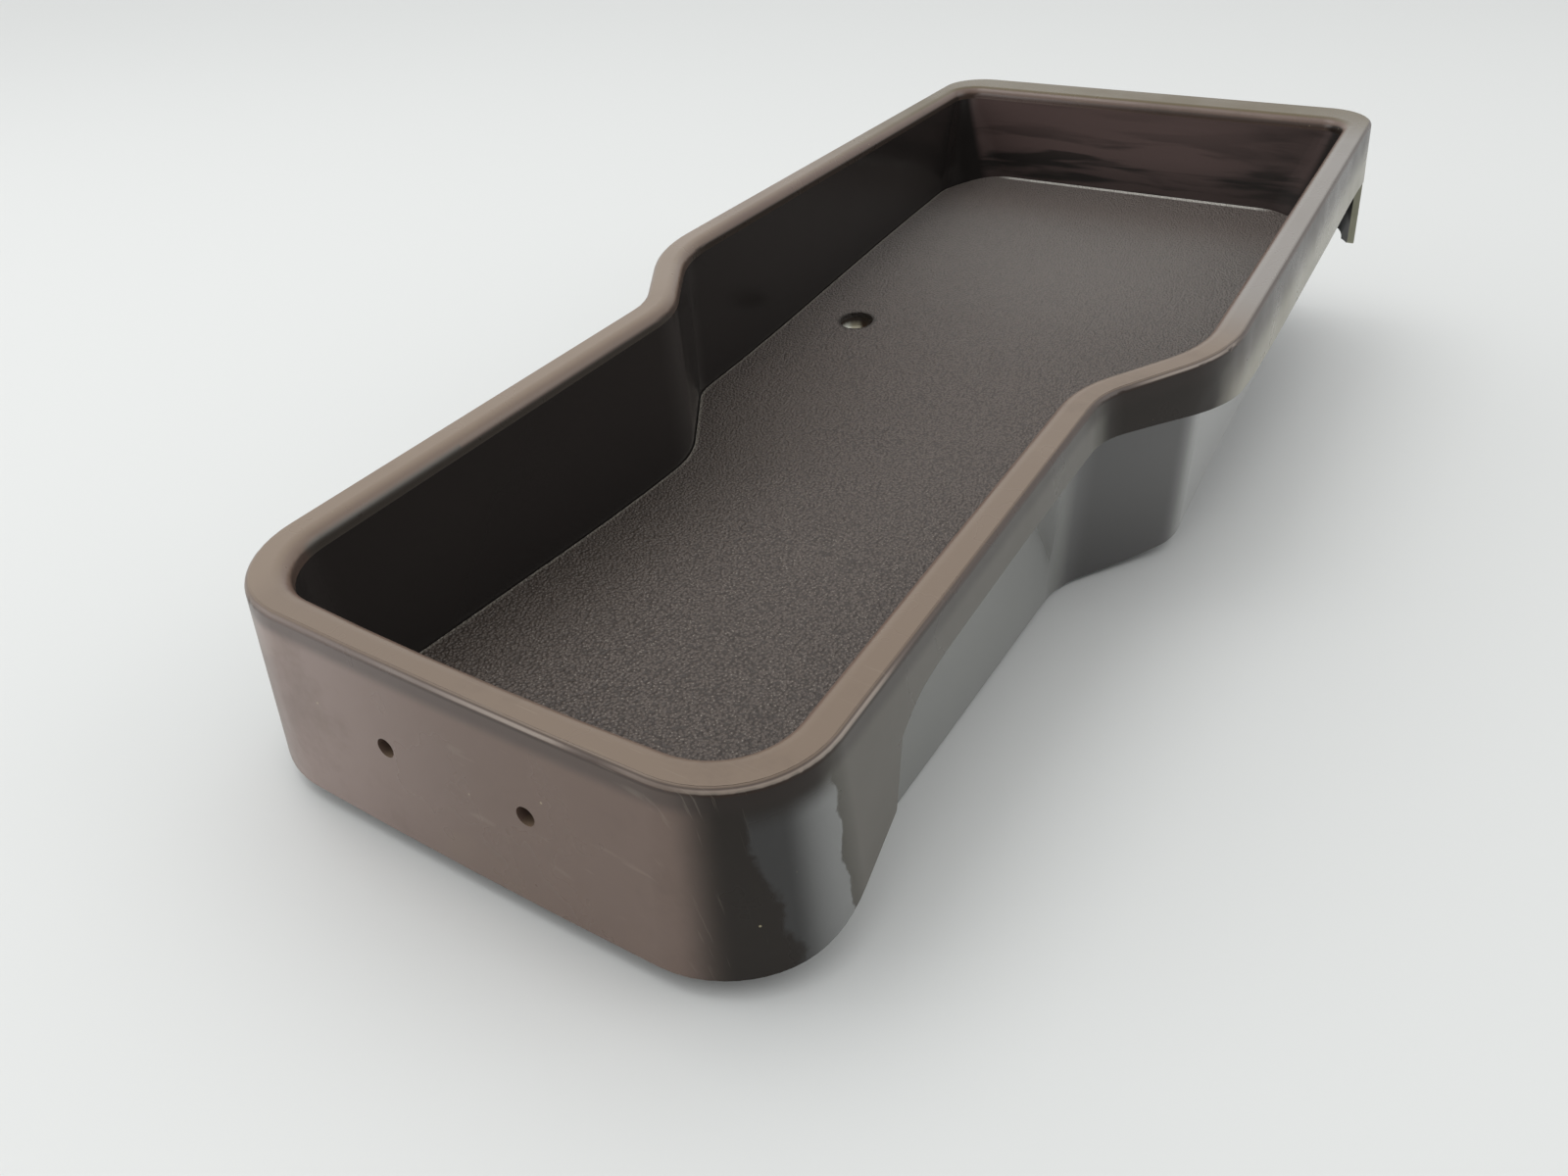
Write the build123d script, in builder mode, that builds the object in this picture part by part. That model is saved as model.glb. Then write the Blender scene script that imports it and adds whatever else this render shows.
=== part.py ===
from build123d import *
import os

# Console oddments tray: a long open tray, narrow at the front and wide at the
# back, hung in a rounded rim with side skirts, a deep front face and a
# full-depth rear panel.
#
# Frame: the front face looks along -Y, the tray runs back along +Y, +Z is up.
# The origin is on the centre line, midway between the two screw towers, on the
# plane of their lower ends.
#
# Positions along the tray are given as stations behind the front of the mouth,
# heights are given as depths under the rim's top face. Tables of points hold
# (station, depth), from front to back.

# ---------------------------------------------------------------- dimensions
rim_top = 73.0            # height of the rim's top face over the tower ends
seat_station = 258.3      # station of the screw seats and towers

flange = 4.6              # thickness of the rim's top flange
skirt_wall = 2.4          # thickness of skirts, front face and rear panel
tub_wall = 2.4            # thickness of the tub's walls
flare = 6.3               # degrees by which skirts, front face and rear lean out
rim_round = 1.9           # rounding of the rim's outer edge
mouth_round = 3.8         # rounding of the rim's edge at the mouth

# Outlines seen from above. front, bend_1, bend_2 and rear are stations; narrow,
# waist and wide are half widths; names ending in _r are corner radii.
mouth = dict(
    front=-2.2,           # front wall at the corners
    bulge=1.9,            # how far the front wall bows out at the centre line
    bend_1=149.9,         # where the narrow bay meets the waist
    bend_2=187.2,         # where the waist meets the wide bay
    rear=409.8,
    narrow=62.2,          # the front bay
    waist=84.8,           # just behind the waist
    wide=82.7,            # at the rear
    front_r=17.0, bend_1_r=36.0, bend_2_r=46.0, rear_r=9.0,
)
# the tub under the mouth has a tighter corner behind the waist
tub = {**mouth, "bend_2_r": 18.0}
# outside of the rim at its top face
outer = dict(
    front=-10.9, bulge=1.1, bend_1=147.3, bend_2=184.6, rear=427.0,
    narrow=71.2, waist=93.9, wide=91.8,
    front_r=24.5, bend_1_r=27.0, bend_2_r=55.0, rear_r=18.0,
)

# rounding of the tub's rear corners, which grows towards the floor
corner_top_r = tub["rear_r"] + 0.2    # at the underside of the flange
corner_foot_r = 25.0                  # at corner_foot_depth
corner_foot_depth = 44.5

# lower edge of the front face and of its wings round the corners
fascia_foot = (-17.2, 45.8)     # the edge is level in front of this point
fascia_corner = (-10.0, 45.0)   # where the front face starts to turn
wing_points = [(-3.6, 44.3), (3.0, 42.6), (10.6, 39.2), (19.0, 35.2), (27.1, 31.4)]
wing_top = (32.5, 17.0)         # top of the wing's free edge, at the skirt
wing_foot_r = 1.2               # rounding at the last wing point

# lower edge of the side skirts, from the wing back to the rear panel
skirt_points = [
    (36.0, 15.0), (40.0, 13.2), (46.0, 12.0), (60.0, 11.4), (110.0, 11.4),
    (145.0, 12.3), (165.0, 13.6), (185.0, 15.8), (205.0, 18.6), (235.0, 20.8),
    (280.0, 21.3), (340.0, 21.8), (400.0, 22.4), (414.6, 23.6),
]
skirt_end_r = 2.5               # rounding where the skirt meets the rear panel

# rear panel: its side edges, its legs and the lower edge between them
leg_tip = (417.3, 51.4)         # foot of the panel's side edge
leg_tip_r = 1.6
leg_inside = 90.2               # half the distance between the legs
arch_depth = 47.8
arch_r = 3.4

# floor: depth of the liner's top face along the tray
floor_points = [
    (-20.0, 43.0), (-3.0, 44.3), (30.0, 47.0), (60.0, 49.2), (90.0, 51.4),
    (120.0, 53.0), (150.0, 53.6), (190.0, 52.9), (220.0, 51.9), (250.0, 50.2),
    (285.0, 47.7), (320.0, 45.3), (360.0, 43.0), (390.0, 41.6), (402.0, 40.5),
    (410.0, 38.2), (418.0, 35.4),
]
liner_thick = 1.8
liner_gap = 0.4           # all round, between the liner and the tub's walls
floor_thick = 2.4

# lower edge of the tub's walls
tub_points = [
    (-12.0, 50.4), (-5.0, 51.0), (20.0, 53.1), (60.0, 56.4), (90.0, 58.7),
    (120.0, 60.9), (150.0, 63.2), (175.0, 63.9), (200.0, 61.8), (225.0, 58.9),
    (260.0, 56.8), (300.0, 55.8), (350.0, 55.0), (407.0, 54.5), (420.0, 54.4),
]

# screw holes in the front face
fascia_hole_d = 4.5
fascia_hole_spacing = 37.2
fascia_hole_depth = 22.1

# screw seats in the floor, and the towers under them
seat_x = 58.8
seat_spots = [(-seat_x, 0), (seat_x, 0)]
seat_d = 13.0
seat_depth = 54.2
seat_inset = 1.2          # how much smaller in radius the dish is at its bottom
seat_flare = 20.0         # degrees by which the dish's side leans out
seat_pad_d = 18.0
seat_pad_depth = 57.2
screw_hole_d = 5.0
tower_d_top = 18.0
tower_d_bottom = 15.0

# blanks and cutters, which only have to reach past the finished shape
overlap = 1.0             # how far a cutter or a joined solid overruns its neighbour
side_reach = 130.0        # to either side of the centre line
rim_blank = 60.0          # height of the rim before its lower edge is cut
cut_front = -40.0         # stations of the ends of the rim's lower cutter
cut_rear = 460.0
cut_depth = 80.0          # depth of the underside of both lower cutters
arch_cut_y = 160.0        # front of the cutter between the legs
arch_cut_length = 40.0
arch_cut_height = 30.0
fascia_drill = 16.0
corner_cut = 20.0         # thickness cut away under the rear corners
seat_cut = 10.0
screw_drill = 40.0


# ------------------------------------------------------------------ profiles
def at(station, depth):
    """Station and depth as a point of the side view."""
    return (station - seat_station, rim_top - depth)


def draw_plan(front, bulge, bend_1, bend_2, rear, narrow, waist, wide,
              front_r, bend_1_r, bend_2_r, rear_r, grow=0.0):
    """Draw two bays joined by a waist, grown by grow all round, into the sketch
    that is open."""
    y_front, y_rear, y_bend_1, y_bend_2 = (
        station - seat_station for station in (front, rear, bend_1, bend_2)
    )
    with BuildLine() as outline:
        ThreePointArc((-narrow, y_front), (0, y_front - bulge), (narrow, y_front))
        Polyline(
            (narrow, y_front),
            (narrow, y_bend_1),
            (waist, y_bend_2),
            (wide, y_rear),
            (-wide, y_rear),
            (-waist, y_bend_2),
            (-narrow, y_bend_1),
            (-narrow, y_front),
        )
    # a line built in a function doesn't join the caller's sketch by itself
    make_face(outline.edges())
    for y, radius in ((y_front, front_r), (y_bend_1, bend_1_r),
                      (y_bend_2, bend_2_r), (y_rear, rear_r)):
        corners = vertices().filter_by_position(Axis.Y, y - 0.01, y + 0.01)
        fillet(corners, radius=radius)
    if grow:
        offset(amount=grow, kind=Kind.ARC)


def draw_bowed_strip(drop, thick):
    """Draw the side profile of a bowed sheet, whose top lies drop under the
    liner's top face, into the sketch that is open."""
    upper = [at(station, depth + drop) for station, depth in floor_points]
    lower = [at(station, depth + drop + thick) for station, depth in floor_points]
    with BuildLine() as outline:
        Spline(*upper)
        Line(upper[-1], lower[-1])
        Spline(*lower)
        Line(lower[0], upper[0])
    make_face(outline.edges())


# -------------------------------------------------------------- rim surround
with BuildPart() as rim_surround:
    with BuildSketch(Plane.XY.offset(rim_top)):
        draw_plan(**outer)
    extrude(amount=-rim_blank, taper=-flare)
    fillet(faces().sort_by(Axis.Z)[-1].edges(), radius=rim_round)

    # hollow out the whole height, then put the flange back; it reaches half way
    # into the skirt's wall
    with BuildSketch(Plane.XY.offset(rim_top)):
        draw_plan(**outer, grow=-skirt_wall)
    extrude(amount=-(rim_blank + overlap), taper=-flare, mode=Mode.SUBTRACT)
    with BuildSketch(Plane.XY.offset(rim_top)):
        draw_plan(**outer, grow=-skirt_wall / 2)
    extrude(amount=-flange)

    # mouth
    with BuildSketch(Plane.XY.offset(rim_top)):
        draw_plan(**mouth)
    extrude(amount=-flange, mode=Mode.SUBTRACT)
    top_face = faces().filter_by(Plane.XY).sort_by(Axis.Z)[-1]
    fillet(top_face.inner_wires().edges(), radius=mouth_round)

    # lower edge, seen from the side: wing, free edge, skirt, rear panel
    with BuildSketch(Plane.YZ):
        with BuildLine():
            level_start = at(cut_front, fascia_foot[1])
            Line(at(cut_front, cut_depth), level_start)
            Line(level_start, at(*fascia_foot))
            Spline(at(*fascia_foot), at(*fascia_corner), *[at(*p) for p in wing_points])
            Line(at(*wing_points[-1]), at(*wing_top))
            Spline(at(*wing_top), *[at(*p) for p in skirt_points])
            Line(at(*skirt_points[-1]), at(*leg_tip))
            Line(at(*leg_tip), at(cut_rear, leg_tip[1]))
            Line(at(cut_rear, leg_tip[1]), at(cut_rear, cut_depth))
            Line(at(cut_rear, cut_depth), at(cut_front, cut_depth))
        make_face()
        for corner, radius in (
            (skirt_points[-1], skirt_end_r),
            (leg_tip, leg_tip_r),
            (wing_points[-1], wing_foot_r),
        ):
            fillet(vertices().sort_by_distance(at(*corner))[0], radius=radius)
    extrude(amount=side_reach, both=True, mode=Mode.SUBTRACT)

    # lower edge of the rear panel between its legs
    with BuildSketch(Plane.XZ.offset(-arch_cut_y)):
        with Locations((0, rim_top - arch_depth - arch_cut_height / 2)):
            RectangleRounded(2 * leg_inside, arch_cut_height, arch_r)
    extrude(amount=-arch_cut_length, mode=Mode.SUBTRACT)

    # holes for the two screws that hold the front face
    hole_centre = (0, outer["front"] - seat_station, rim_top - fascia_hole_depth)
    with Locations(Plane(origin=hole_centre, x_dir=(1, 0, 0), z_dir=(0, -1, 0))):
        with GridLocations(fascia_hole_spacing, 1, 2, 1):
            Cylinder(fascia_hole_d / 2, fascia_drill, mode=Mode.SUBTRACT)

# --------------------------------------------------------------- tub's floor
# The floor and the corners reach half way into the tub's walls.
with BuildPart() as floor_panel:
    with BuildSketch(Plane.YZ):
        draw_bowed_strip(liner_thick, floor_thick)
    extrude(amount=side_reach, both=True)
    with BuildSketch(Plane.XY):
        draw_plan(**tub, grow=tub_wall / 2)
    extrude(amount=rim_top, mode=Mode.INTERSECT)

# ------------------------------------------------------- tub's rear corners
# Each is a curved wedge in the corner, thin at the top and wide at the floor.
corner = Vector(tub["wide"], tub["rear"] - seat_station)
side_run = (
    Vector(tub["wide"], tub["rear"]) - Vector(tub["waist"], tub["bend_2"])
).normalized()
with BuildPart() as rear_corners:
    for depth, radius in ((flange, corner_top_r), (corner_foot_depth, corner_foot_r)):
        with BuildSketch(Plane.XY.offset(rim_top - depth)):
            side_end = corner - side_run * radius
            rear_end = corner - Vector(radius, 0)
            rear_outer = corner + Vector(-radius, overlap)
            corner_outer = corner + Vector(overlap, overlap)
            side_outer = side_end + Vector(overlap, 0)
            with BuildLine():
                TangentArc(side_end, rear_end, tangent=side_run)
                Line(rear_end, rear_outer)
                Line(rear_outer, corner_outer)
                Line(corner_outer, side_outer)
                Line(side_outer, side_end)
            make_face()
    loft()
    mirror(about=Plane.YZ)
    with BuildSketch(Plane.XY):
        draw_plan(**tub, grow=tub_wall / 2)
    extrude(amount=rim_top, mode=Mode.INTERSECT)
    # end the wedges half way through the floor
    with BuildSketch(Plane.YZ):
        draw_bowed_strip(liner_thick + floor_thick / 2, corner_cut)
    extrude(amount=side_reach, both=True, mode=Mode.SUBTRACT)

# ---------------------------------------------------------------- tray shell
with BuildPart() as tray_shell:
    with BuildSketch(Plane.XY):
        draw_plan(**tub, grow=tub_wall)
    extrude(amount=rim_top - flange)
    with BuildSketch(Plane.XY):
        draw_plan(**tub)
    extrude(amount=rim_top - flange, mode=Mode.SUBTRACT)

    # lower edge of the walls, seen from the side
    with BuildSketch(Plane.YZ):
        with BuildLine():
            edge_front, edge_rear = at(*tub_points[0]), at(*tub_points[-1])
            foot_front = at(tub_points[0][0], cut_depth)
            foot_rear = at(tub_points[-1][0], cut_depth)
            Spline(*[at(*p) for p in tub_points])
            Line(edge_rear, foot_rear)
            Line(foot_rear, foot_front)
            Line(foot_front, edge_front)
        make_face()
    extrude(amount=side_reach, both=True, mode=Mode.SUBTRACT)
    add(floor_panel.part)
    add(rear_corners.part)

    # pads under the floor that carry the screw seats
    with BuildSketch(Plane.XY.offset(rim_top - seat_pad_depth)):
        with Locations(*seat_spots):
            Circle(seat_pad_d / 2)
    extrude(amount=seat_pad_depth - seat_depth + overlap)

    # dished seats and the screws' holes
    with BuildSketch(Plane.XY.offset(rim_top - seat_depth)):
        with Locations(*seat_spots):
            Circle(seat_d / 2 - seat_inset)
    extrude(amount=seat_cut, taper=-seat_flare, mode=Mode.SUBTRACT)
    with BuildSketch(Plane.XY):
        with Locations(*seat_spots):
            Circle(screw_hole_d / 2)
    extrude(amount=screw_drill, mode=Mode.SUBTRACT)

# --------------------------------------------------------------- floor liner
liner = {**tub, "rear_r": corner_foot_r}
with BuildPart() as floor_liner:
    with BuildSketch(Plane.YZ):
        draw_bowed_strip(0.0, liner_thick)
    extrude(amount=side_reach, both=True)
    with BuildSketch(Plane.XY):
        draw_plan(**liner, grow=-liner_gap)
    extrude(amount=rim_top, mode=Mode.INTERSECT)
    with BuildSketch(Plane.XY):
        with Locations(*seat_spots):
            Circle(seat_d / 2)
    extrude(amount=rim_top, mode=Mode.SUBTRACT)

# -------------------------------------------------------------- screw towers
tower_length = rim_top - seat_pad_depth
with BuildPart() as screw_towers:
    for x, y in seat_spots:
        with Locations((x, y, tower_length / 2)):
            Cone(tower_d_bottom / 2, tower_d_top / 2, tower_length)
            Cylinder(screw_hole_d / 2, tower_length + 2 * overlap, mode=Mode.SUBTRACT)

# --------------------------------------------------------------------- files
os.makedirs("parts", exist_ok=True)
for name, piece in (
    ("rim_surround", rim_surround.part),
    ("tray_shell", tray_shell.part),
    ("floor_liner", floor_liner.part),
    ("screw_towers", screw_towers.part),
):
    piece.label = name
    export_step(piece, f"parts/{name}.step")
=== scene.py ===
"""A moulded tray: a tub with a rim surround, a grained floor liner and two screw towers.

It lies open side up. The narrow bay is at the front (-y), the wide bay at the rear (+y),
the right side is +x, and it is mirrored in place across x = 0. Lengths are in metres.
"""
import math
from functools import cached_property

import bpy
from mathutils import Matrix, Vector

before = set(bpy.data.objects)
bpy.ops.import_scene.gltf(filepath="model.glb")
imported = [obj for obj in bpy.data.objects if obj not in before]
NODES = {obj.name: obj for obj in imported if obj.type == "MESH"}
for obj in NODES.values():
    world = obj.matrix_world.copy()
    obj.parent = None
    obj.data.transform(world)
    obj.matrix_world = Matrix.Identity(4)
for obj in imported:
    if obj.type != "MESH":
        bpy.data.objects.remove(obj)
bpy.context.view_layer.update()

RIM_TOP = 0.073  # height of the top of the rim
SEAT_X = 0.0588  # each screw seat is this far from the centre line, at y = 0


# ---------------------------------------------------------------- shader nodes
def linear(colour):
    """Linear RGBA from sRGB values of 0 to 255."""
    channels = [c / 255.0 for c in colour]
    return (*(c / 12.92 if c <= 0.04045 else ((c + 0.055) / 1.055) ** 2.4 for c in channels), 1.0)


class Graph:
    """Short calls that add shader nodes to a tree and return their output sockets."""

    def __init__(self, tree):
        self.tree = tree

    def plug(self, node, key, value):
        """Link a socket to an input, or set the input's value."""
        if isinstance(value, bpy.types.NodeSocket):
            self.tree.links.new(value, node.inputs[key])
        else:
            node.inputs[key].default_value = value

    def add(self, kind, inputs, **settings):
        node = self.tree.nodes.new("ShaderNode" + kind)
        for name, value in settings.items():
            setattr(node, name, value)
        for key, value in inputs.items():
            self.plug(node, key, value)
        return node

    def math(self, operation, first, second=0.0):
        return self.add("Math", {0: first, 1: second}, operation=operation).outputs[0]

    def times(self, product, *factors):
        for factor in factors:
            product = self.math("MULTIPLY", product, factor)
        return product

    def plus(self, first, second):
        return self.math("ADD", first, second)

    def minus(self, first, second):
        return self.math("SUBTRACT", first, second)

    def larger(self, first, second):
        return self.math("MAXIMUM", first, second)

    def absolute(self, value):
        return self.math("ABSOLUTE", value)

    def sum_squares(self, first, second):
        return self.plus(self.times(first, first), self.times(second, second))

    def ramp(self, value, over, to=(0.0, 1.0), kind="SMOOTHSTEP"):
        """Go from to[0] to to[1] while value goes from over[0] to over[1]."""
        limits = {"From Min": over[0], "From Max": over[1], "To Min": to[0], "To Max": to[1]}
        return self.add("MapRange", {"Value": value, **limits}, interpolation_type=kind).outputs[0]


class Material(Graph):
    """A Principled material whose colour is painted on in layers."""

    def __init__(self, name):
        self.data = bpy.data.materials.new(name)
        self.data.use_nodes = True
        super().__init__(self.data.node_tree)
        self.tree.nodes.clear()
        self.surface = self.add("BsdfPrincipled", {})
        self.add("OutputMaterial", {0: self.surface.outputs[0]})

    @cached_property
    def coords(self):
        return self.add("TexCoord", {}).outputs["Object"]

    @cached_property
    def position(self):
        """The x, y and z of the point."""
        return self.add("SeparateXYZ", {0: self.coords}).outputs

    @cached_property
    def facing(self):
        """The x, y and z of the surface normal."""
        normal = self.add("NewGeometry", {}).outputs["Normal"]
        return self.add("SeparateXYZ", {0: normal}).outputs

    def put(self, key, value):
        self.plug(self.surface, key, value)

    def mapping(self, scale, rotation=(0, 0, 0)):
        inputs = {"Vector": self.coords, "Scale": scale, "Rotation": rotation}
        return self.add("Mapping", inputs).outputs[0]

    def noise(self, scale, detail=2.0, rough=0.5, vector=None, distortion=0.0):
        inputs = {"Vector": vector or self.coords, "Scale": scale, "Detail": detail}
        inputs.update({"Roughness": rough, "Distortion": distortion})
        return self.add("TexNoise", inputs).outputs["Fac"]

    def patches(self, over, to=(0.0, 1.0), **noise):
        return self.ramp(self.noise(**noise), over=over, to=to)

    def voronoi(self, scale):
        return self.add("TexVoronoi", {"Vector": self.coords, "Scale": scale}).outputs

    def mix(self, factor, first, second):
        """Blend two colours, each a socket or an sRGB tuple."""
        first, second = (linear(c) if isinstance(c, tuple) else c for c in (first, second))
        return self.add("Mix", {0: factor, 6: first, 7: second}, data_type="RGBA").outputs[2]

    def mottle(self, dark, light, **noise):
        """Start the colour as a noisy blend of two."""
        self.colour = self.mix(self.noise(**noise), dark, light)

    def paint(self, mask, colour, strength=None):
        """Lay a colour over what is there, where the mask is high."""
        factor = mask if strength is None else self.times(mask, strength)
        self.colour = self.mix(factor, self.colour, colour)

    def bump(self, height, strength, distance, under=None):
        inputs = {"Height": height, "Strength": strength, "Distance": distance}
        if under is not None:
            inputs["Normal"] = under
        return self.add("Bump", inputs).outputs[0]


# --------------------------------------------------------------------- normals
def soften(piece, degrees=32.0, grid=2e5):
    """Smooth shading across faces that meet at less than this angle.

    Corners in the same cell of the grid (cells per metre) count as one point.
    Vertices stay where they are.
    """
    mesh = piece.data
    limit = math.cos(math.radians(degrees))
    faces_at = {}
    corners = []
    for face in mesh.polygons:
        normal = face.normal.copy()
        for loop in face.loop_indices:
            place = mesh.vertices[mesh.loops[loop].vertex_index].co
            cell = tuple(round(c * grid) for c in place)
            corners.append((loop, cell, normal))
            faces_at.setdefault(cell, []).append((normal, face.area))
    normals = [None] * len(mesh.loops)
    for loop, cell, normal in corners:
        total = Vector((0, 0, 0))
        for other, area in faces_at[cell]:
            if other.dot(normal) > limit:
                total += other * (area + 1e-9)  # so faces with no area still count
        normals[loop] = total.normalized() if total.length > 0 else normal
    mesh.polygons.foreach_set("use_smooth", [True] * len(mesh.polygons))
    mesh.normals_split_custom_set(normals)


for piece in NODES.values():
    soften(piece)


# -------------------------------------------------------------------- surround
def depth_ramp(mat, start, end, **ramp):
    """A ramp over depth below the top of the rim."""
    return mat.ramp(mat.position[2], over=(RIM_TOP - start, RIM_TOP - end), **ramp)


def scratches(mat, rotation, scale, over):
    """Thin, broken lines along one direction."""
    stretched = mat.mapping(scale=(1.0, 40.0, 1.0), rotation=rotation)
    lines = mat.patches(over=over, scale=scale, rough=0.6, vector=stretched)
    return mat.times(lines, mat.patches(over=(0.52, 0.62), scale=9.0))


def specks(mat, scale, size, share):
    """Small separate dots; share is the part of the cells that get one."""
    cells = mat.voronoi(scale)
    random = mat.add("SeparateColor", {0: cells["Color"]}).outputs[0]
    dot = mat.ramp(cells["Distance"], over=(size, size * 0.5))
    return mat.times(dot, mat.math("LESS_THAN", random, share))


def plan_direction(mat, abs_x):
    """Outward direction in plan, with x taken as positive on both sides.

    It comes from the place round the front corners, and from the surface elsewhere.
    """
    y = mat.position[1]
    centre_x, centre_y = 0.0467, -0.2447  # centre of the front corner's curve
    length = 0.994  # of the plan direction round the corner
    out_x = mat.larger(mat.minus(abs_x, centre_x), 0.0)
    out_y = mat.math("MINIMUM", mat.plus(y, -centre_y), 0.0)
    distance = mat.plus(mat.math("SQRT", mat.sum_squares(out_x, out_y)), 1e-7)
    fore = mat.math("LESS_THAN", y, -0.20)
    aft = mat.minus(1.0, fore)

    def blend(out, surface):
        corner = mat.times(mat.math("DIVIDE", out, distance), length)
        return mat.plus(mat.times(fore, corner), mat.times(aft, surface))

    return blend(out_x, mat.absolute(mat.facing[0])), blend(out_y, mat.facing[1])


def paint_moulding(mat, top):
    """Mottled moulded colour, with a painted sheen that makes the front face paler to the left, and
    grime.
    """
    mat.mottle((105, 86, 76), (118, 98, 87), scale=16.0, detail=4.0, rough=0.6)
    # painted sheen: the front face paler towards the left
    front = mat.ramp(mat.facing[1], over=(-0.90, -0.97))
    leftward = mat.ramp(mat.position[0], over=(0.02, -0.07), to=(0.0, 0.85))
    mat.paint(front, strength=leftward, colour=(156, 136, 129))
    mat.paint(top, strength=0.8, colour=(118, 101, 84))
    blotch = mat.patches(over=(0.5, 0.75), scale=38.0, detail=5.0, rough=0.65)
    mat.paint(blotch, strength=0.25, colour=(128, 110, 92))
    grime = mat.patches(over=(0.52, 0.72), scale=30.0, detail=5.0, rough=0.7)
    mat.paint(grime, strength=0.32, colour=(84, 68, 56))


def paint_front_right_shade(mat, plan_x, plan_y):
    """Paint shade on the faces that look to the front right. Returns its mask."""
    right = mat.math("GREATER_THAN", mat.position[0], 0.0)
    turn = mat.plus(mat.times(plan_x, 0.80), mat.times(plan_y, -0.60))
    upright = mat.ramp(mat.facing[2], over=(0.7, 0.35))
    front_right_shade = mat.times(mat.ramp(turn, over=(0.72, 0.93)), right, upright)
    # painted shade: these faces look towards the dim camera side of the room
    mat.paint(front_right_shade, colour=(40, 34, 29))
    return front_right_shade


def paint_top(mat, top):
    """Colour the bays' surrounds. Returns the mask of the yellower rear."""
    x, y, z = mat.position
    # yellower at the rear
    yellower_rear = mat.times(top, mat.ramp(y, over=(-0.01, 0.130)))
    mat.paint(yellower_rear, strength=0.95, colour=(86, 72, 40))
    # greyer along the right of the wide bay
    grey = mat.times(
        mat.ramp(x, over=(0.06, 0.08)),
        mat.ramp(y, over=(-0.08, -0.03)),
        mat.times(top, mat.ramp(y, over=(0.165, 0.12))),
    )
    mat.paint(grey, strength=0.9, colour=(132, 126, 121))
    # a little paler along the left of the narrow bay
    left = mat.times(
        mat.ramp(x, over=(-0.050, -0.062)),
        mat.ramp(y, over=(-0.03, -0.06)),
        mat.ramp(mat.facing[2], over=(0.2, 0.6)),
    )
    mat.paint(left, strength=0.35, colour=(142, 124, 106))
    return yellower_rear


def paint_flanks(mat, plan_x):
    """Side skirts: a painted grey sheen; to the rear, painted shade under the rim and a painted
    reflection of the floor low down.
    """
    upright = mat.ramp(mat.facing[2], over=(0.7, 0.35))
    flank = mat.times(mat.ramp(plan_x, over=(0.93, 0.985)), upright)
    # painted grey sheen on the side skirts
    mat.paint(flank, strength=0.85, colour=(90, 88, 81))
    behind = mat.times(flank, mat.ramp(mat.position[1], over=(-0.085, -0.055)))
    # painted shade under the rim, towards the rear
    mat.paint(behind, colour=(74, 66, 59))
    low = depth_ramp(mat, start=0.0055, end=0.0170)
    # painted reflection of the floor low down
    mat.paint(behind, strength=low, colour=(154, 150, 137))
    return flank, behind


def paint_corner_skin(mat, plan_x):
    """Smoother, greyer skin with a ragged edge round each front corner, painted from shade to
    highlight as it turns to the side.
    """
    edge_noise = mat.noise(scale=70.0, detail=4.0, rough=0.6)
    ragged_y = mat.plus(mat.times(edge_noise, 0.0075), mat.position[1])
    slant = depth_ramp(mat, start=0.012, end=0.040, to=(0.0, 0.16), kind="LINEAR")
    turn_noise = mat.noise(scale=85.0, detail=4.0, rough=0.6)
    turn = mat.plus(mat.minus(plan_x, slant), mat.times(turn_noise, 0.30))
    patch = mat.times(
        mat.ramp(turn, over=(0.78, 0.82)),
        mat.ramp(ragged_y, over=(-0.2455, -0.2462)),
        depth_ramp(mat, start=0.004, end=0.011),
    )
    # painted shading: dark where the skin faces the front, light where it faces the side
    skin = mat.mix(mat.ramp(plan_x, over=(0.80, 0.97)), (50, 50, 50), (138, 139, 138))
    mat.paint(patch, strength=0.8, colour=skin)
    return patch


def paint_legs(mat, abs_x):
    """Legs of the rear panel: a painted highlight at the side edge, painted shade inside."""
    x, y, z = mat.position
    low = mat.math("LESS_THAN", z, RIM_TOP - 0.0228)
    not_rear = mat.ramp(mat.facing[1], over=(0.35, 0.15))
    not_side = mat.ramp(mat.absolute(mat.facing[0]), over=(0.9, 0.8))
    leg = mat.times(mat.ramp(y, over=(0.140, 0.142)), low, mat.times(not_rear, not_side))
    # distance from the centre line, corrected for the slope of the side edge
    across = mat.plus(abs_x, mat.times(mat.minus(z, RIM_TOP - 0.0514), 0.1104))
    strip = mat.math("GREATER_THAN", across, 0.0934)
    # painted shade on the inside of the legs
    mat.paint(leg, colour=(18, 19, 22))
    # painted highlight on the side edge
    mat.paint(leg, strength=strip, colour=(196, 194, 172))
    return leg


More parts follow.
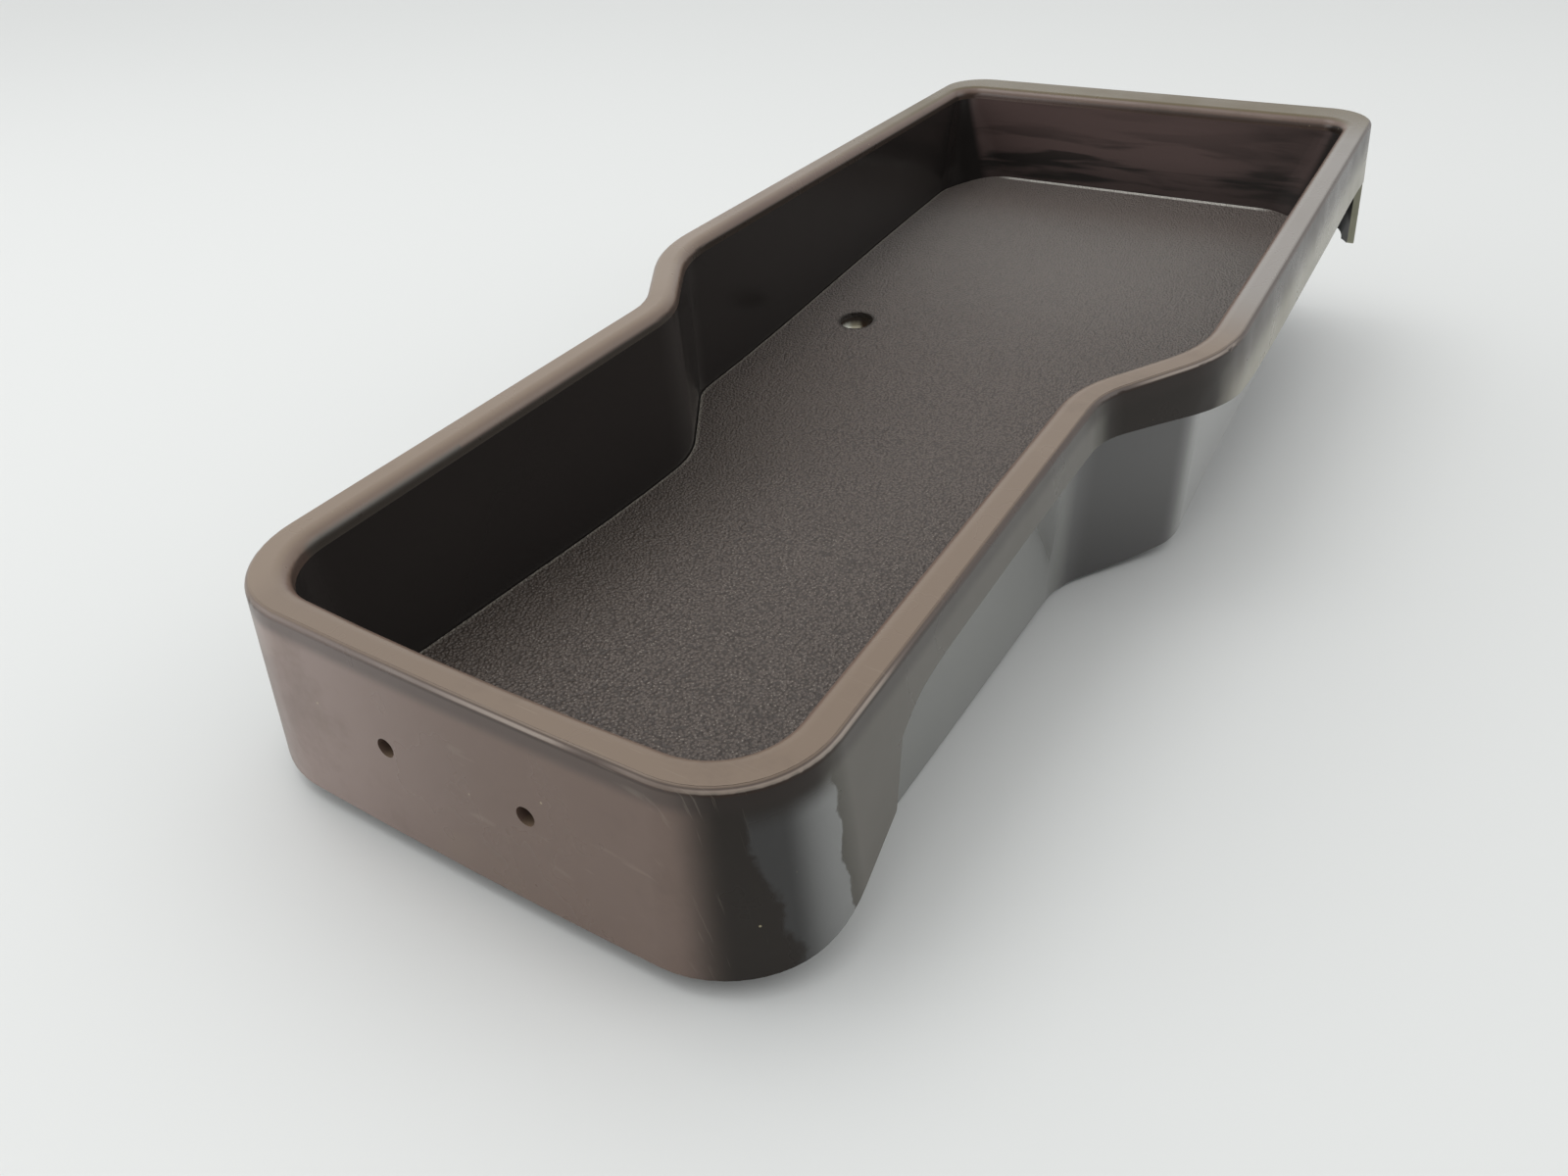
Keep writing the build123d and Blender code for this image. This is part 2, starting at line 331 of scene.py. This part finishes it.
def paint_edges(mat):
    """Painted shade under the rounded outer edge, and painted highlights in patches along it with
    painted shade elsewhere on it, never on the mouth's.
    """
    x, y, z = mat.position
    face_x, face_y, face_z = mat.facing
    # painted shade in a band under the rounded edge
    under = mat.times(depth_ramp(mat, start=0.0065, end=0.0032), mat.ramp(face_z, over=(0.5, 0.25)))
    mat.paint(under, strength=0.6, colour=(48, 40, 36))
    edge = mat.times(
        depth_ramp(mat, start=0.00110, end=0.00080),
        depth_ramp(mat, start=0.00025, end=0.00050),
    )
    outward_x = mat.times(face_x, mat.math("SIGN", x))
    outward_y = mat.times(face_y, mat.math("SIGN", mat.plus(y, 0.05)))
    outward = mat.ramp(mat.larger(outward_x, outward_y), over=(0.2, 0.35))
    at_front = mat.ramp(y, over=(-0.215, -0.235))
    at_waist = mat.times(mat.ramp(y, over=(-0.110, -0.100)), mat.ramp(y, over=(-0.060, -0.070)))
    # painted highlight in broken patches along the rounded edge, at the front and the waist
    edge_highlight = mat.times(
        edge,
        mat.patches(over=(0.42, 0.60), scale=22.0, detail=3.0),
        outward,
        mat.ramp(x, over=(-0.03, 0.02), to=(0.2, 1.0)),
        mat.larger(at_front, at_waist),
    )
    mat.paint(edge_highlight, strength=0.32, colour=(190, 182, 170))
    # painted shade along the rounded edge where it has no highlight
    edge_shade = mat.times(
        depth_ramp(mat, start=0.00170, end=0.00120),
        depth_ramp(mat, start=0.00010, end=0.00030),
        outward,
        mat.minus(1.0, edge_highlight),
        mat.ramp(x, over=(-0.055, 0.02), to=(0.25, 0.75)),
    )
    mat.paint(edge_shade, colour=(54, 42, 36))


def paint_marks(mat, off_flank):
    """Scuffs, scratches and pale specks."""
    level = scratches(mat, rotation=(0.0, 0.0, 0.5), scale=60.0, over=(0.66, 0.72))
    slanted = scratches(mat, rotation=(0.3, 0.9, -0.4), scale=45.0, over=(0.68, 0.74))
    not_side = mat.ramp(mat.absolute(mat.facing[0]), over=(0.8, 0.5))
    scuff = mat.times(mat.larger(level, slanted), not_side)
    mat.paint(scuff, strength=0.12, colour=(176, 166, 150))
    large = specks(mat, scale=130.0, size=0.06, share=0.10)
    small = specks(mat, scale=260.0, size=0.09, share=0.05)
    dots = mat.times(mat.larger(large, small), off_flank)
    mat.paint(dots, strength=0.7, colour=(190, 178, 146))


def surround_plastic(mat):
    top = mat.ramp(mat.facing[2], over=(0.75, 0.95))
    abs_x = mat.absolute(mat.position[0])
    plan_x, plan_y = plan_direction(mat, abs_x)
    paint_moulding(mat, top)
    front_right_shade = paint_front_right_shade(mat, plan_x, plan_y)
    yellower_rear = paint_top(mat, top)
    flank, behind = paint_flanks(mat, plan_x)
    patch = paint_corner_skin(mat, plan_x)
    leg = paint_legs(mat, abs_x)
    paint_edges(mat)
    off_flank = mat.minus(1.0, flank)
    paint_marks(mat, off_flank)

    rough = mat.patches(over=(0.3, 0.7), to=(0.25, 0.36), scale=30.0, detail=4.0, rough=0.6)
    mat.put("Roughness", mat.minus(rough, mat.times(patch, 0.12)))
    dull = mat.larger(mat.times(front_right_shade, 0.75), mat.larger(behind, leg))
    dull = mat.times(dull, mat.minus(1.0, mat.times(patch, 0.5)))
    dull = mat.larger(dull, mat.times(yellower_rear, 0.35))
    mat.put("Specular IOR Level", mat.ramp(dull, over=(0.0, 1.0), to=(0.5, 0.15)))
    waves = mat.times(mat.noise(scale=26.0), off_flank)
    wavy = mat.bump(waves, strength=0.2, distance=0.0006)
    grain = mat.times(mat.noise(scale=1500.0), off_flank)
    mat.put("Normal", mat.bump(grain, strength=0.05, distance=0.0001, under=wavy))


# ------------------------------------------------------- tub, liner and towers
def from_seat(mat):
    """Offset in x and squared distance from the nearer screw seat's centre."""
    x, y, z = mat.position
    offset = mat.minus(mat.absolute(x), SEAT_X)
    return offset, mat.sum_squares(offset, y)


def tub_plastic(mat):
    x, y, z = mat.position
    face_x, face_y, face_z = mat.facing
    mat.mottle((38, 35, 34), (46, 42, 40), scale=12.0, detail=4.0, rough=0.6)
    # brown film on the inside of the rear wall, wiped away in level streaks
    rear = mat.times(mat.ramp(y, over=(0.1485, 0.1505)), mat.ramp(face_y, over=(-0.6, -0.95)))
    streaks = mat.mapping(scale=(1.0, 1.0, 9.0))
    wiped = mat.patches(
        over=(0.46, 0.62), scale=17.0, detail=3.0, vector=streaks, distortion=0.4)
    low = mat.ramp(z, over=(0.064, 0.042), to=(0.15, 1.0))
    reach = mat.larger(low, mat.ramp(x, over=(0.03, 0.08), to=(0.0, 0.8)))
    film = mat.times(
        rear,
        mat.minus(1.0, mat.times(wiped, reach)),
        mat.ramp(z, over=(0.036, 0.052), to=(0.45, 1.0)),
        mat.ramp(x, over=(0.02, 0.075), to=(1.0, 0.55)),
    )
    mat.paint(film, colour=(104, 87, 84))
    # painted reflection of the floor on the outside of the side walls, which makes them paler than
    # the inside
    outward = mat.times(face_x, mat.math("SIGN", x))
    mat.paint(mat.ramp(outward, over=(0.93, 0.99)), colour=(90, 90, 84))
    # screw seats: lighter dishes with a painted highlight on one side, painted shadow on the other
    # and a painted shade ring at the edge
    offset, squared = from_seat(mat)
    seat = mat.times(
        mat.math("LESS_THAN", squared, 0.0066 ** 2),
        mat.ramp(face_z, over=(0.1, 0.4)),
        mat.ramp(z, over=(0.0260, 0.0245)),
    )
    across = mat.plus(mat.times(offset, -0.854), mat.times(y, 0.5175))
    seat_lit_and_shaded = mat.mix(mat.ramp(across, over=(-0.0034, -0.0012)), (238, 238, 228), (176, 170, 150))
    seat_lit_and_shaded = mat.mix(mat.ramp(across, over=(0.0008, 0.0030)), seat_lit_and_shaded, (66, 48, 34))
    seat_lit_and_shaded = mat.mix(mat.ramp(squared, over=(0.0052 ** 2, 0.0061 ** 2)), seat_lit_and_shaded, (58, 50, 44))
    mat.paint(seat, colour=seat_lit_and_shaded)

    mat.put("Coat Weight", mat.ramp(outward, over=(0.1, 0.4)))
    mat.put("Coat Roughness", 0.02)
    mat.put("Roughness", mat.patches(over=(0.3, 0.7), to=(0.16, 0.26), scale=25.0, detail=3.0))
    mat.put("Normal", mat.bump(mat.noise(scale=24.0), strength=0.10, distance=0.0006))


def grained_liner(mat):
    x, y, z = mat.position
    mat.mottle((94, 84, 78), (106, 96, 90), scale=12.0, detail=4.0, rough=0.6)
    # pebbled grain, with painted shade in the valleys and painted highlights on the tips towards
    # the front
    cells = mat.voronoi(scale=1150.0)["Distance"]
    fine = mat.noise(scale=2100.0, rough=0.6)
    grain = mat.plus(mat.minus(1.0, cells), mat.times(fine, 0.6))
    mat.paint(mat.ramp(cells, over=(0.42, 0.66)), strength=0.6, colour=(46, 40, 37))
    tip = mat.times(mat.ramp(cells, over=(0.34, 0.14)), mat.ramp(fine, over=(0.50, 0.62)))
    near = mat.ramp(y, over=(-0.02, -0.16), to=(0.15, 1.0))
    mat.paint(mat.times(tip, near), strength=0.75, colour=(196, 188, 178))
    # painted shade beside the left wall at the front; a greyer painted sheen towards the rear, then
    # browner near the rear wall
    beside = mat.times(mat.ramp(x, over=(-0.01, -0.06)), mat.ramp(y, over=(0.0, -0.10)))
    mat.paint(beside, strength=0.55, colour=(66, 56, 48))
    mat.paint(mat.ramp(y, over=(-0.05, 0.10), to=(0.0, 0.5)), colour=(126, 121, 117))
    mat.paint(mat.ramp(y, over=(0.10, 0.135), to=(0.0, 0.55)), colour=(98, 86, 80))
    # painted highlight on the liner's edge along the walls
    occlusion = mat.add("AmbientOcclusion", {"Distance": 0.0022}, samples=8).outputs["AO"]
    mat.paint(mat.ramp(occlusion, over=(0.92, 0.7)), strength=0.5, colour=(160, 154, 142))
    # painted shade in a ring round each screw seat
    squared = from_seat(mat)[1]
    ring = mat.ramp(squared, over=(0.0079 ** 2, 0.0070 ** 2), to=(0.0, 0.8))
    mat.paint(ring, colour=(44, 37, 32))
    # painted highlight on the lip in the middle of the rear edge
    middle = mat.ramp(mat.absolute(x), over=(0.064, 0.054))
    lip = mat.ramp(y, over=(0.1493, 0.1501), to=(0.0, 0.9))
    mat.paint(lip, strength=middle, colour=(216, 212, 204))

    mat.put("Roughness", mat.patches(over=(0.3, 0.7), to=(0.34, 0.44), scale=18.0, detail=3.0))
    mat.put("Normal", mat.bump(grain, strength=0.9, distance=0.0007))


def tower_plastic(mat):
    mat.mottle((44, 41, 40), (54, 50, 48), scale=20.0, detail=3.0)
    mat.put("Roughness", mat.patches(over=(0.3, 0.7), to=(0.35, 0.5), scale=60.0, detail=3.0))
    mat.put("Normal", mat.bump(mat.noise(scale=900.0), strength=0.15, distance=0.0003))


for node_name, build in (
    ("rim_surround", surround_plastic),
    ("tray_shell", tub_plastic),
    ("floor_liner", grained_liner),
    ("screw_towers", tower_plastic),
):
    material = Material(build.__name__)
    build(material)
    material.put("Base Color", material.colour)
    slots = NODES[node_name].data.materials
    slots.clear()
    slots.append(material.data)


# ----------------------------------------------------------------------- stage
def link_object(name, data):
    made = bpy.data.objects.new(name, data)
    bpy.context.scene.collection.objects.link(made)
    return made


# The tray stands on the front of the tub's lower edge and on its two towers,
# so the floor is tilted in this frame.
FLOOR_TILT = math.atan(0.0859)
FLOOR_GAP = 0.0002
FLOOR_HALF = 6.0
floor_up = Vector((0.0, math.sin(FLOOR_TILT), math.cos(FLOOR_TILT)))
contact = Vector((0.0, -0.0075, 0.0)) - floor_up * FLOOR_GAP
floor_side = Vector((1.0, 0.0, 0.0))
floor_ahead = floor_up.cross(floor_side)
corners = [
    contact + floor_side * across * FLOOR_HALF + floor_ahead * along * FLOOR_HALF
    for across, along in ((-1, -1), (1, -1), (1, 1), (-1, 1))
]
floor_mesh = bpy.data.meshes.new("stage_floor")
floor_mesh.from_pydata([tuple(corner) for corner in corners], [], [(0, 1, 2, 3)])
floor = link_object("stage_floor", floor_mesh)
floor_material = Material("stage_floor")
floor_material.put("Base Color", linear((218, 219, 218)))
floor_material.put("Roughness", 0.5)
floor_mesh.materials.append(floor_material.data)

# ---------------------------------------------------------------------- lights
# A soft dome, bright overhead, to the left and behind, dimmer low down on the
# camera's side.
world = bpy.data.worlds.new("studio")
bpy.context.scene.world = world
world.use_nodes = True
sky = Graph(world.node_tree)
background = world.node_tree.nodes["Background"]
view = sky.add("TexCoord", {}).outputs["Generated"]


def sky_ramp(direction, over, to):
    """A ramp over how closely the view follows a direction."""
    along = sky.add("VectorMath", {0: view, 1: direction}, operation="DOT_PRODUCT")
    return sky.ramp(along.outputs["Value"], over=over, to=to)


dark_side = sky_ramp(direction=(0.60, -0.78, 0.0), over=(0.45, 0.92), to=(1.0, 0.1))
glow = sky_ramp(direction=(-0.35, 0.25, 0.90), over=(0.2, 1.0), to=(0.72, 1.25))
sky.plug(background, 0, (0.955, 0.967, 0.965, 1.0))
sky.plug(background, 1, sky.times(dark_side, glow))

LIGHT_TARGET = Vector((0.0, -0.05, 0.04))
# name, place, width, height, watts
AREA_LIGHTS = (
    ("key", (-0.55, -0.15, 1.3), 0.7, 0.7, 3.0),
    ("left_front", (-1.0, -1.0, 0.5), 0.9, 0.7, 3.2),
    ("right_rear", (1.3, 0.7, 0.9), 1.0, 1.0, 3.5),
)
for name, place, width, height, watts in AREA_LIGHTS:
    light = bpy.data.lights.new(name, "AREA")
    light.shape = "RECTANGLE"
    light.size = width
    light.size_y = height
    light.energy = watts
    lamp = link_object(name, light)
    lamp.location = place
    lamp.rotation_euler = (LIGHT_TARGET - Vector(place)).to_track_quat("-Z", "Y").to_euler()

# ---------------------------------------------------------------------- camera
CAMERA_AXES = (
    (0.85399114, 0.51753510, -0.05344678),  # right
    (-0.27888527, 0.54205718, 0.79271497),  # up
    (0.43922903, -0.66206604, 0.60724494),  # back
)
CAMERA_PLACE = (0.13880481, -0.36200434, 0.20785007)
lens = bpy.data.cameras.new("camera")
lens.sensor_width = 36.0
lens.lens = 25.63
lens.clip_start = 0.01
lens.clip_end = 50.0
camera = link_object("camera", lens)
pose = Matrix(CAMERA_AXES).transposed().to_4x4()
pose.translation = CAMERA_PLACE
camera.matrix_world = pose
bpy.context.scene.camera = camera

bpy.context.scene.view_settings.view_transform = "Standard"

bpy.context.view_layer.update()
